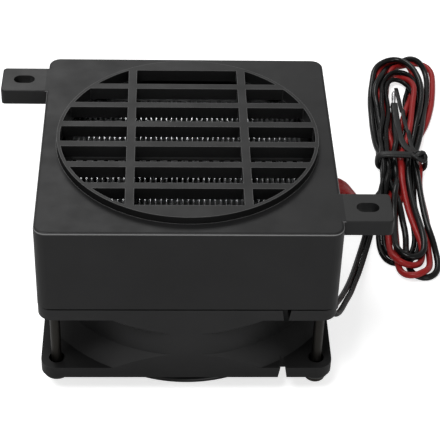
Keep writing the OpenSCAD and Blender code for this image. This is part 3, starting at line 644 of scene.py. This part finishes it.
# What lies further from the middle plane than the housing's sides is on its lugs, in metres
LUGS_FROM = 0.0405
SHEET_GRAIN = (1, 1, 0.08)
MATERIALS = {
    # The housing's lug tops get painted light, and the edges of its main block a painted highlight
    "housing_plastic": moulded(
        "housing_plastic", (0.011, 0.011, 0.0113), rough=0.46, spec=0.22, level=0.024,
        level_beyond=LUGS_FROM, edge_highlight=0.19, edge_within=LUGS_FROM),
    # The grille's base grey is darkened as painted shade on its walls; its upward faces get painted light and
    # its edges a painted highlight
    "grille_plastic": moulded(
        "grille_plastic", (0.006, 0.006, 0.0061), rough=0.46, spec=0.2, grain=2200, level=0.0155, edge_highlight=0.13),
    # The fan frame's edges get a faint painted highlight and its hollows painted shade
    "fan_plastic": moulded(
        "fan_plastic", (0.021, 0.021, 0.0213), rough=0.44, spec=0.12, grain=2400, grain_depth=5e-6,
        edge_highlight=0.03, hollow=0.02),
    "holder_plastic": moulded("holder_plastic", (0.01, 0.01, 0.01), rough=0.55, spec=0.3),
    "guard_black": moulded(
        "guard_black", (0.008, 0.008, 0.008), rough=0.32, spec=0.3, grain=900, grain_depth=1.2e-5),
    "tie_plastic": moulded(
        "tie_plastic", (0.011, 0.0113, 0.0113), rough=0.42, spec=0.26, grain=900, grain_depth=2e-5),
    "insulation_red": insulation("insulation_red", (0.3, 0.016, 0.015), (0.26, 0.011, 0.011), rough=0.3),
    "insulation_black": insulation(
        "insulation_black", (0.006, 0.0062, 0.0062), (0.0045, 0.0045, 0.0045), rough=0.2),
    "insulation_fan": insulation(
        "insulation_fan", (0.005, 0.005, 0.005), (0.004, 0.004, 0.004), rough=0.26, spec=0.1),
    "aluminium": metal("aluminium", (0.9, 0.91, 0.92), rough=0.3, stretch=SHEET_GRAIN),
    "steel": metal("steel", (0.5, 0.5, 0.51), rough=0.36),
    "steel_black": metal("steel_black", (0.032, 0.03, 0.027), rough=0.42),
    "brass": metal("brass", (0.72, 0.52, 0.24), rough=0.3),
    "copper": wound_copper("copper"),
    "magnet": fired("magnet", (0.05, 0.048, 0.048), rough=0.5),
    "ceramic": fired("ceramic", (0.2, 0.19, 0.18), rough=0.6),
    "board": printed_board("board"),
}

# The finish of each CAD node; a node that isn't named here is of aluminium
NODE_SLOTS = {
    "housing": "housing_plastic", "outlet_grille": "grille_plastic", "fan_frame": "fan_plastic",
    "impeller": "fan_plastic", "core_holder_left": "holder_plastic", "core_holder_right": "holder_plastic",
    "centre_beam": "holder_plastic", "side_plate_front": "steel", "side_plate_rear": "steel",
    "rotor_yoke": "steel", "rotor_shaft": "steel", "stator_core": "steel", "guard_screws": "steel_black",
    "ptc_stones_front": "ceramic", "ptc_stones_rear": "ceramic", "rotor_magnet": "magnet",
    "bearing_sleeve": "brass", "terminal_bar_red": "brass", "terminal_bar_black": "brass",
    "stator_coils": "copper", "motor_board": "board", "finger_guard": "guard_black",
    "heater_lead_red": "insulation_red", "heater_lead_black": "insulation_black",
    "fan_lead_front": "insulation_black", "fan_lead_back": "insulation_black",
    "lead_hank": "insulation_black", "wire_tie": "tie_plastic",
}


def dress_nodes():
    for name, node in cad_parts.items():
        node.data.materials.clear()
        node.data.materials.append(MATERIALS[NODE_SLOTS.get(name, "aluminium")])


dress_nodes()


# Meshes of the leads, the tie and the solder
def mesh_piece(name, vertices, faces, slot):
    """A smooth mesh of its own, from millimetres."""
    data = bpy.data.meshes.new(name)
    data.from_pydata([[float(x) * MM for x in v] for v in vertices], [], faces)
    data.polygons.foreach_set("use_smooth", [True] * len(data.polygons))
    data.materials.append(MATERIALS[slot])
    obj = bpy.data.objects.new(name, data)
    scene.collection.objects.link(obj)
    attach(obj, HEATER)
    return obj


def tube_faces(rings, sides):
    """Faces round a closed tube of so many rings, its two ends last."""
    faces = []
    for start in range(0, (rings - 1) * sides, sides):
        for k in range(sides):
            after = (k + 1) % sides
            faces.append([start + k, start + after, start + sides + after, start + sides + k])
    return faces + [list(range(sides))[::-1], [(rings - 1) * sides + k for k in range(sides)]]


def unit(vectors):
    """The same directions, each one long."""
    return vectors / np.linalg.norm(vectors, axis=-1, keepdims=True)


# Sides of the tie's strips, of the leads' tips and of the sleeve
STRIP_SIDES = 14
TIP_SIDES = 18
SLEEVE_SIDES = 24


def sweep(name, path, width, thick, out, power=0.75, ends=0.35):
    """A closed strip of the tie, of oval section. out gives the side that its flat face looks to.

    A lower power makes the section squarer, and the first and last sections are ends times as large."""
    path = np.array(path, float)
    run = unit(np.gradient(path, axis=0))
    across = unit(np.cross(run, out))
    up = np.cross(across, run)
    angle = np.arange(STRIP_SIDES) * 2 * math.pi / STRIP_SIDES
    c, s = np.cos(angle), np.sin(angle)
    shape_c, shape_s = np.sign(c) * abs(c) ** power, np.sign(s) * abs(s) ** power
    vertices, last = [], len(path) - 1
    for i, centre in enumerate(path):
        k = ends if i in (0, last) else 1
        for a, b in zip(shape_c, shape_s):
            vertices.append(centre + k * (across[i] * a * width / 2 + up[i] * b * thick / 2))
    return mesh_piece(name, vertices, tube_faces(len(path), STRIP_SIDES), "tie_plastic")


laid = lay_leads()

# The CAD node that each lead stands for, its slot, and the way from its end to the end of its bare strands
LEAD_FACTS = {
    "lead_red": ("heater_lead_red", "insulation_red", (-2.4, -5.6, -0.6)),
    "lead_black": ("heater_lead_black", "insulation_black", (1, 8.6, 0.4)),
    "lead_fan_front": ("fan_lead_front", "insulation_black", (-0.6, -5, 0)),
    "lead_fan_back": ("fan_lead_back", "insulation_black", (-0.2, -5, 0)),
}
# The bare strands: their radius as a share of the lead's diameter, how many show, how deep the grooves
# between them are as a share of the radius, and how far they turn from one ring to the next
BARE_SHARE = 0.34
STRANDS = 6
STRAND_DEPTH = 0.1
STRAND_TWIST = 0.5


def tinned_tip(name, points, d, reach):
    """Twisted and tinned strands that stand out of the insulation."""
    end, back = points[-1], points[-2]
    run = (end - back) / np.linalg.norm(end - back)
    goal = end + np.array(reach)
    line = spline([end - run, end + run, 0.4 * end + 0.6 * goal + 0.2 * run, goal], FINE_STEP)
    vertices = []
    side = np.cross(run, [0.1, 0.2, 1])
    side /= np.linalg.norm(side)
    other = np.cross(run, side)
    for i, p in enumerate(line):
        # The last two rings are smaller
        left = len(line) - 1 - i
        size = BARE_SHARE * d * min(1, 0.45 + 0.3 * left)
        for k in range(TIP_SIDES):
            a = k * 2 * math.pi / TIP_SIDES
            strand = 1 + STRAND_DEPTH * math.cos(STRANDS * a + i * STRAND_TWIST)
            vertices.append(p + size * strand * (math.cos(a) * side + math.sin(a) * other))
    return mesh_piece(name + "_tip", vertices, tube_faces(len(line), TIP_SIDES), "steel")


SLEEVE_PATH = [
    [41.2, 14.5, 32.8], [42.6, 14.9, 32.1], [44.9, 16, 30.2], [46.9, 17.5, 27.6], [49.2, 20, 23.2],
    [51.4, 23, 19.2]]
SLEEVE_SHIFT = [0.25, 0.1, 0.35]
SLEEVE_R, SLEEVE_RIM_R, SLEEVE_BORE_R = 1.68, 1.6, 1.3
SLEEVE_RIPPLE = 0.03


def red_sleeve():
    """A short thicker sleeve on the red lead, from the housing's wall to below the lug."""
    line = spline(SLEEVE_PATH, FINE_STEP) - SLEEVE_SHIFT
    run = unit(np.gradient(line, axis=0))
    side = unit(np.cross(run, [0, 0, 1.0]))
    other = np.cross(side, run)
    last = len(line) - 1
    rings = [(0, SLEEVE_BORE_R), (0, SLEEVE_RIM_R)]
    rings += [(i, SLEEVE_R + SLEEVE_RIPPLE * math.sin(1.3 * i)) for i in range(1, last)]
    rings += [(last, SLEEVE_RIM_R), (last, SLEEVE_BORE_R)]
    vertices = []
    for i, size in rings:
        for k in range(SLEEVE_SIDES):
            a = k * 2 * math.pi / SLEEVE_SIDES
            vertices.append(line[i] + size * (math.cos(a) * side[i] + math.sin(a) * other[i]))
    return mesh_piece("red_sleeve", vertices, tube_faces(len(rings), SLEEVE_SIDES), "insulation_red")


def make_leads():
    for (name, route, _, d), line in zip(LEADS, laid):
        node, slot, reach = LEAD_FACTS[name]
        lead = curve(name, thin(line, KEEP_EVERY), d, MATERIALS["insulation_fan" if "fan" in name else slot])
        tip = tinned_tip(name, line, d, reach)
        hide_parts(node, "lead_hank")
        [tip, red_sleeve()] if name == "lead_red" else [tip]
        print(name, "length", round(length_of(line), 3))


make_leads()


# The tie round the bundle
TIE_WIDTH = 2.9
# How far from the tie's middle the leads still count as under it, and the ring's gaps below and beside
UNDER_TIE = 1.4
RING_UNDER_GAP = 0.06
RING_SIDE_GAP = 0.1
# The ring is squarer than an oval, leans along the bundle, and its end climbs beside its start
RING_POWER = 0.62
RING_LEAN = 0.9
RING_CLIMB = 0.66
# The knot's place from the bundle's right side, the tie's middle and the ring's top, and how far from there
# the tails start
KNOT_SHIFT = (-1.7, -1.6, 0.4)
TAIL_START = (-0.6, 1.8, 0.6)
TAIL_T = 0.6
# A tail's points are first set this high over the leads, and after smoothing it is lifted clear of them
TAIL_LIFT = 0.45
TAIL_LEAST_LIFT = 0.35
TAIL_FIRST_Z = 5.6
TAIL_LOWEST_Z = 0.4
TAIL_HEIGHT_ROUNDS = 4
TAIL_SMOOTHINGS = 12
# Where each tail would be seen if it lay FLAT_Z high, and its width
TAILS = {
    "tie_tail_wide": ([[75.6, 69.4], [74.3, 72.6], [73.5, 77], [73.3, 83], [73.5, 90], [73.6, 97.6]], 2.3),
    "tie_tail_narrow": ([[76.6, 70.6], [76.6, 76], [76.2, 84.5], [75.7, 94.5], [75.4, 106.4]], 1.5),
}


def top_of_bundle(x, y, reach):
    """Height of the leads within reach of a point."""
    best = 0
    for (*_, d), line in zip(LEADS, laid):
        gap = np.hypot(line[:, 0] - x, line[:, 1] - y)
        near = gap < d / 2 + reach
        if near.any():
            above = np.sqrt(np.maximum(0, (d / 2) ** 2 - np.minimum(gap[near], d / 2) ** 2))
            best = max(best, (line[near, 2] + above).max())
    return best


def waist():
    """Left, right and top of the bundle under the tie."""
    left, right, top = math.inf, 0, 0
    for (*_, d), line in zip(LEADS, laid):
        here = line[np.abs(line[:, 1] - TIE_Y) < UNDER_TIE]
        left, right = min(left, here[:, 0].min() - d / 2), max(right, here[:, 0].max() + d / 2)
        top = max(top, here[:, 2].max() + d / 2)
    return left, right, top


def tie_ring(left, right, top):
    """The band round the waist, a flattened ring whose end climbs beside its start."""
    mid_x, half_x = (left + right) / 2, (right - left + TIE_T) / 2 + RING_SIDE_GAP
    mid_z = (TIE_T / 2 + RING_UNDER_GAP + top + TIE_T / 2) / 2
    half_z = mid_z - TIE_T / 2 - RING_UNDER_GAP
    path, out = [], []
    for a in np.radians(np.arange(20, 391, 10)):
        c, s = math.cos(a), math.sin(a)
        path.append([mid_x + half_x * math.copysign(abs(c) ** RING_POWER, c),
                     TIE_Y - RING_LEAN * c + RING_CLIMB * max(0, a / math.pi - 1),
                     mid_z + half_z * math.copysign(abs(s) ** RING_POWER, s)])
        out.append([c, 0, s])
    ring = sweep("tie_ring", path, TIE_WIDTH, TIE_T, out)
    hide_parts("wire_tie")


def tie_knot(knot):
    """A loop on the band, and the short strap that holds it."""
    loop = [[2 * math.cos(t), 1.9 * math.sin(t), 0.45 * math.sin(2 * t) - 0.3 * math.cos(t)]
            for t in np.radians(np.arange(-100, 281, 20))]
    strap = [[-2.2, -0.6, -0.7], [-1, -0.2, 0.7], [0.5, 0.7, 1.1], [1.4, 1.9, 0.5], [1.7, 2.6, -0.7]]
    sweep("tie_knot", spline(loop + knot, FINE_STEP), width=1.5, thick=1.2, out=[0.1, 0.2, 1.0])
    sweep("tie_strap", spline(strap + knot, FINE_STEP), width=1.7, thick=0.9, out=[0.1, 0.1, 1.0])


def tie_tail(name, start, plan, width):
    """A flat end of the tie that lies along the top of the bundle."""
    line = []
    for x, y in plan:
        z = TAIL_FIRST_Z
        for _ in range(TAIL_HEIGHT_ROUNDS):
            at = raised([[x, y, z]])[0]
            z = max(TAIL_LOWEST_Z, top_of_bundle(at[0], at[1], reach=0.6) + TAIL_LIFT)
        line.append([at[0], at[1], z])
    path = spline([start] + line, TAIL_STEP)
    for _ in range(TAIL_SMOOTHINGS):
        path[1:-1] = 0.25 * path[:-2] + 0.5 * path[1:-1] + 0.25 * path[2:]
    for q in path[2:]:
        q[2] = max(q[2], top_of_bundle(q[0], q[1], reach=0.4) + TAIL_LEAST_LIFT)
    sweep(name, path, width, TAIL_T, out=[0, 0, 1.0], power=0.6, ends=0.9)


def make_tie():
    left, right, top = waist()
    print("waist", round(left, 2), round(right, 2), round(top, 2))
    tie_ring(left, right, top)
    knot = np.array([right, TIE_Y, top + TIE_T / 2]) + KNOT_SHIFT
    tie_knot(knot)
    for name, (plan, width) in TAILS.items():
        tie_tail(name, knot + TAIL_START, plan, width)


make_tie()

SOLDER_SIZE = (0.9, 1.5, 1.4)


def solder(name, centre):
    """A drop of solder that has run down to a strip on its left."""
    mesh = bmesh.new()
    bmesh.ops.create_icosphere(mesh, subdivisions=3, radius=1)
    vertices = []
    for v in mesh.verts:
        x, y, z = v.co
        sag = 1 + 0.16 * math.sin(3 * y + 2 * z) + 0.3 * max(0, -x)
        vertices.append([centre[0] + x * SOLDER_SIZE[0], centre[1] + y * SOLDER_SIZE[1] * sag,
                         centre[2] + z * SOLDER_SIZE[2] * sag - 0.25 * y * y])
    faces = [[v.index for v in f.verts] for f in mesh.faces]
    mesh.free()
    mesh_piece(name, vertices, faces, "steel")


solder("solder_red", (35.6, 14, 48))
solder("solder_black", (35.6, 9.5, 43))


# Floor, light and background. SEEN is what the camera gets, MIRRORED what a glossy surface shows, and LIT
# what else the world sheds on the object.
FLOOR_HALF = 4
FLOOR_GREY = 0.74
FLOOR_SEEN, FLOOR_MIRRORED = 0.7, 0.05
WORLD_SEEN, WORLD_MIRRORED, WORLD_LIT = 1.0, 0.42, 0.26
# Each lamp's place, size and power
LAMPS = {
    "key": ((-0.4, -0.5, 1.3), (0.5, 0.5), 11.5),
    "fill": ((0.4, -1.25, 0.4), (0.6, 0.6), 3.2),
    "back": ((-0.25, 1.05, 1.0), (0.7, 0.4), 5),
}
LAMP_AIM = (0, 0, 0.03)


def make_floor():
    data = bpy.data.meshes.new("floor")
    corners = [(x * FLOOR_HALF, y * FLOOR_HALF, 0) for x, y in ((-1, -1), (1, -1), (1, 1), (-1, 1))]
    data.from_pydata(corners, [], [(0, 1, 2, 3)])
    material, tree, bsdf = shader("floor", 0.7, spec=0.2)
    bsdf.inputs["Base Color"].default_value = (FLOOR_GREY, FLOOR_GREY, FLOOR_GREY, 1)
    rays = tree.nodes.new("ShaderNodeLightPath")
    mirrored = calculate(tree, "MULTIPLY", rays.outputs["Is Glossy Ray"], FLOOR_MIRRORED)
    glow = calculate(tree, "MULTIPLY_ADD", rays.outputs["Is Camera Ray"], FLOOR_SEEN, mirrored)
    bsdf.inputs["Emission Color"].default_value = (1, 1, 1, 1)
    tree.links.new(glow, bsdf.inputs["Emission Strength"])
    data.materials.append(material)
    floor = bpy.data.objects.new("floor", data)
    scene.collection.objects.link(floor)


def make_world():
    world = bpy.data.worlds.new("studio")
    scene.world = world
    world.use_nodes = True
    tree = world.node_tree
    tree.nodes.clear()
    rays = tree.nodes.new("ShaderNodeLightPath")

    def background(strength):
        node = tree.nodes.new("ShaderNodeBackground")
        node.inputs["Color"].default_value = (1, 1, 1, 1)
        node.inputs["Strength"].default_value = strength
        return node.outputs[0]

    def either(share, below, above):
        node = tree.nodes.new("ShaderNodeMixShader")
        for socket, value in zip(node.inputs, (share, below, above)):
            tree.links.new(value, socket)
        return node.outputs[0]

    seen = calculate(tree, "MAXIMUM", rays.outputs["Is Camera Ray"], rays.outputs["Is Transmission Ray"])
    unseen = either(rays.outputs["Is Glossy Ray"], background(WORLD_LIT), background(WORLD_MIRRORED))
    out = tree.nodes.new("ShaderNodeOutputWorld")
    tree.links.new(either(seen, unseen, background(WORLD_SEEN)), out.inputs[0])


def area_light(name, spot, size, power):
    data = bpy.data.lights.new(name, "AREA")
    data.shape = "RECTANGLE"
    data.size, data.size_y = size
    data.energy = power
    lamp = bpy.data.objects.new(name, data)
    lamp.location = spot
    lamp.rotation_mode = "QUATERNION"
    lamp.rotation_quaternion = (Vector(LAMP_AIM) - Vector(spot)).to_track_quat("-Z", "Y")
    scene.collection.objects.link(lamp)


make_floor()
make_world()
for lamp_name, facts in LAMPS.items():
    area_light(lamp_name, *facts)
scene.view_settings.view_transform = "Standard"
